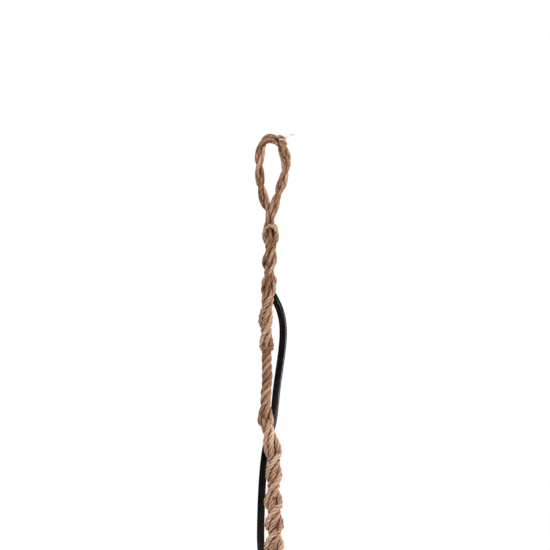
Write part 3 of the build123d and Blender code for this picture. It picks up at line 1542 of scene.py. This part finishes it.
@dataclass
class SpliceEnd:
    """The frayed end of a cord that stands out of the splice at the eye's right shoulder.

    Each yarn is a short curl through three points, with its width. Its lumps and its changes
    of tone are each a share and a length in millimetres.
    """

    yarns: Arcs = (
        ((8.0, 0.5, 3.6), (11.4, 0.0, 6.2), (13.6, -0.6, 4.2), 2.7),
        ((8.6, -2.0, 2.4), (12.2, -2.8, 3.4), (14.4, -2.2, 0.6), 2.9),
        ((10.0, 1.6, 0.6), (13.4, 1.8, 1.6), (14.8, 1.2, -1.6), 2.7),
        ((10.4, -2.6, -1.0), (13.4, -3.2, -1.4), (14.2, -2.6, -4.4), 2.6),
        ((6.0, -1.6, 5.2), (9.0, -2.6, 7.4), (11.4, -1.8, 5.4), 2.2),
    )
    rings: int = 16
    sides: int = 16
    lumps: tuple[float, float] = (0.12, 1.6)
    tone_changes: tuple[float, float] = (0.4, 2.0)
    fibres: int = 90
    fibre_length: tuple[float, float] = (0.7, 2.4)
    fibre_width: tuple[float, float] = (0.08, 0.16)
    fibre_scatter: float = 0.55

    def build(self, finish: LaidJute, fibre: LooseFibre) -> None:
        """Build the curled yarns and the tuft of fibres round them.

        Args:
            finish: the yarns' finish.
            fibre: the fibres' finish.
        """
        rng = np.random.default_rng(31)
        stubs, tuft = MeshParts(), MeshParts()
        ring = np.arange(self.rings)
        for first, middle, last, width in self.yarns:
            line = arc(first, middle, last, self.rings)
            along = distance_along(line)
            reach = CordForm.ridges(rng, along, round_angles(self.sides))
            reach *= (width / 2 * np.interp(ring, [0, 9, 15], [1.0, 0.95, 0.55]))[:, None]
            share, length = self.lumps
            reach *= (1 + share * smooth_noise(rng, along, length))[:, None]
            share, length = self.tone_changes
            tones = np.clip(0.5 + share * smooth_noise(rng, along, length), 0, 1)
            TubeForm.on(line, reach).add_to(stubs, None, tones)
            ways = tangents(line)
            for _ in range(self.fibres // len(self.yarns)):
                root = rng.integers(6, self.rings)
                lean = unit(0.8 * ways[root] + rng.normal(0, self.fibre_scatter, 3))
                size = rng.uniform(*self.fibre_length), rng.uniform(*self.fibre_width)
                add_fibre(tuft, rng, line[root] + 0.3 * width * lean, lean, *size)
        piece = stubs.build("splice_end_plies")
        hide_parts("splice_end")
        dress(piece, finish.material())
        dress(tuft.build("splice_end_tuft"), fibre.material())


@dataclass
class StrayFibres:
    """The few long fibres and the one loose yarn that have sprung out of the rope.

    Each run is three points and a width; the yarn arches over the neck below the upper eye.
    """

    runs: Arcs = (
        ((15.6, -2.0, 5.0), (18.2, -2.4, 8.0), (22.6, -2.5, 6.9), 0.42),
        ((18.9, -2.4, 7.5), (20.8, -2.4, 7.6), (22.6, -2.5, 6.9), 0.7),
        ((14.2, -1.0, 3.2), (14.9, -1.5, 9.5), (13.0, -2.0, 15.2), 0.2),
        ((13.6, -1.0, 3.0), (17.0, -2.0, 5.2), (15.8, -2.5, 8.8), 0.18),
        ((3.6, -4.2, -72.4), (7.0, -4.8, -74.6), (10.4, -5.0, -78.2), 0.4),
        ((3.4, -3.0, -65.0), (4.9, -4.0, -67.0), (4.0, -4.5, -69.6), 0.2),
        ((-3.2, -2.0, -310.5), (-3.9, -3.0, -314.0), (-1.0, -4.0, -316.0), 0.3),
    )
    run_points: int = 12
    yarn: tuple[Place, ...] = (
        (-2.6, 2.4, -92.0),
        (-4.6, 1.2, -88.5),
        (-5.9, -1.0, -83.5),
        (-4.6, -3.6, -77.5),
        (-0.6, -4.9, -74.2),
        (3.6, -4.4, -75.6),
        (6.2, -2.6, -80.0),
        (6.6, -0.4, -86.0),
        (4.6, 1.6, -90.5),
        (2.4, 2.6, -94.0),
    )
    ply: TwoPly = TwoPly(width=2.9, pitch=9.0, groove=0.34, sides=20, lip=1.02, dark=0.7)
    taper: float = 4.0

    def build(self, finish: LooseFibre, jute: LaidJute) -> None:
        """Build the fibres as thin tapered tubes and the yarn as a soft one.

        Args:
            finish: the fibres' finish.
            jute: the yarn's finish.
        """
        parts = MeshParts()
        for first, middle, last, width in self.runs:
            radii = width / 2 * np.linspace(1.0, 0.5, self.run_points)
            add_tube(parts, arc(first, middle, last, self.run_points), radii, 5)
        dress(parts.build("stray_fibres"), finish.material())
        self.build_yarn(jute)

    def build_yarn(self, finish: LaidJute) -> None:
        """Build the loose yarn.

        Args:
            finish: the yarn's finish.
        """
        rng = np.random.default_rng(44)
        line = spaced(np.array(self.yarn), 0.4)
        line = each_axis(line, lambda values: smoothed(values, 13))
        along = distance_along(line)
        form, depths = self.ply.on(line, rng)
        ends = [0, self.taper, along[-1] - self.taper, along[-1]]
        form.reach *= np.interp(along, ends, [0.5, 1, 1, 0.5])[:, None]
        parts = MeshParts()
        form.add_to(parts, depths, 0.5 + 0.3 * smooth_noise(rng, along, 5.0))
        dress(parts.build("loose_yarn"), finish.material())


@dataclass
class FootSeizing:
    """The turns of thin twine that bind the legs, the lower eye's returned end and the flex.

    The twine's middle lies on what is held, out from it by bedding as a share of its width.
    """

    twine: TwoPly = TwoPly(width=2.0, pitch=9.0, groove=0.6, sides=12, lip=1.0, dark=0.8)
    turns: int = 9
    points_in_turn: int = 48
    margin: float = 1.0
    bedding: float = 0.45
    slice_reach: float = 1.5

    def build(self, finish: LaidJute, held: list[tuple[Points, float]]) -> None:
        """Wind the twine round what it holds.

        Args:
            finish: the twine's finish.
            held: the lines that it goes round, each with its radius.
        """
        form, depths = self.twine.on(self.wind(held), np.random.default_rng(5), (0.0, 0.0, 1.0))
        parts = MeshParts()
        form.add_to(parts, depths)
        piece = parts.build("foot_seizing_twine")
        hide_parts("foot_seizing")
        dress(piece, finish.material())

    def wind(self, held: list[tuple[Points, float]]) -> Points:
        """Work out the twine's line.

        Args:
            held: the lines that it goes round, each with its radius.

        Returns:
            The line's points in millimetres.
        """
        count = self.turns * self.points_in_turn
        angles = np.linspace(0, self.turns * math.tau, count)
        heights = np.linspace(SEIZING_TOP - self.margin, SEIZING_FOOT + self.margin, count)
        line = np.zeros((count, 3))
        line[:, 2] = heights
        step = math.tau / self.points_in_turn
        for index, (angle, height) in enumerate(zip(angles, heights)):
            shifts = (-step, 0.0, step)
            before, here, after = (self.support(held, height, angle + shift) for shift in shifts)
            slope = (after - before) / (2 * step)
            out = np.array([math.cos(angle), math.sin(angle)])
            round_way = np.array([-math.sin(angle), math.cos(angle)])
            line[index, :2] = (here + self.twine.width * self.bedding) * out + slope * round_way
        line[:, 0] += SEIZING_X
        return line

    def support(self, held: list[tuple[Points, float]], height: float, angle: float) -> float:
        """Work out how far what is held reaches from the seizing's middle in a direction.

        Args:
            held: the lines, each with its radius.
            height: the height at which it counts.
            angle: the direction in radians.

        Returns:
            The distance in millimetres.
        """
        out = np.array([math.cos(angle), math.sin(angle)])
        reach = 0.0
        for line, radius in held:
            level = np.abs(line[:, 2] - height) < self.slice_reach
            near = line[level, :2] - np.array([SEIZING_X, 0.0])
            if len(near):
                reach = max(reach, float((near @ out).max()) + radius)
        return reach


def main() -> None:
    """Build the studio, the cords and every other piece in order."""
    logging.basicConfig(level=logging.INFO, format="%(name)s: %(message)s")
    studio = Studio()
    studio.build_camera()
    jute = LaidJute("laid_jute_cord")
    fibre = LooseFibre("loose_jute_fibre")
    flex = Flex()
    flex.lay()
    rope = Rope()
    rope.lay_legs()
    rope.lay_cords(flex.line)
    rope.build_legs(jute, flex.line)
    flex.build(ExtrudedPvc("black_pvc_sheath"))
    # The frayed yarn's groove colour is the colour of its painted shade
    SpliceEnd().build(LaidJute("frayed_jute_yarn", groove="#5E422D"), fibre)
    StrayFibres().build(fibre, jute)
    cords = [(cord, rope.lay.radius) for cord in rope.cords]
    twine = LaidJute("jute_twine", tones=("#50382A", "#86664A", "#A6815F", "#C7A380"))
    FootSeizing().build(twine, cords + [(flex.line, flex.diameter / 2)])
    rope.build_hair(fibre)
    studio.build_lamps()
    studio.build_surroundings()
    studio.build_floor()


if __name__ == "__main__":
    main()
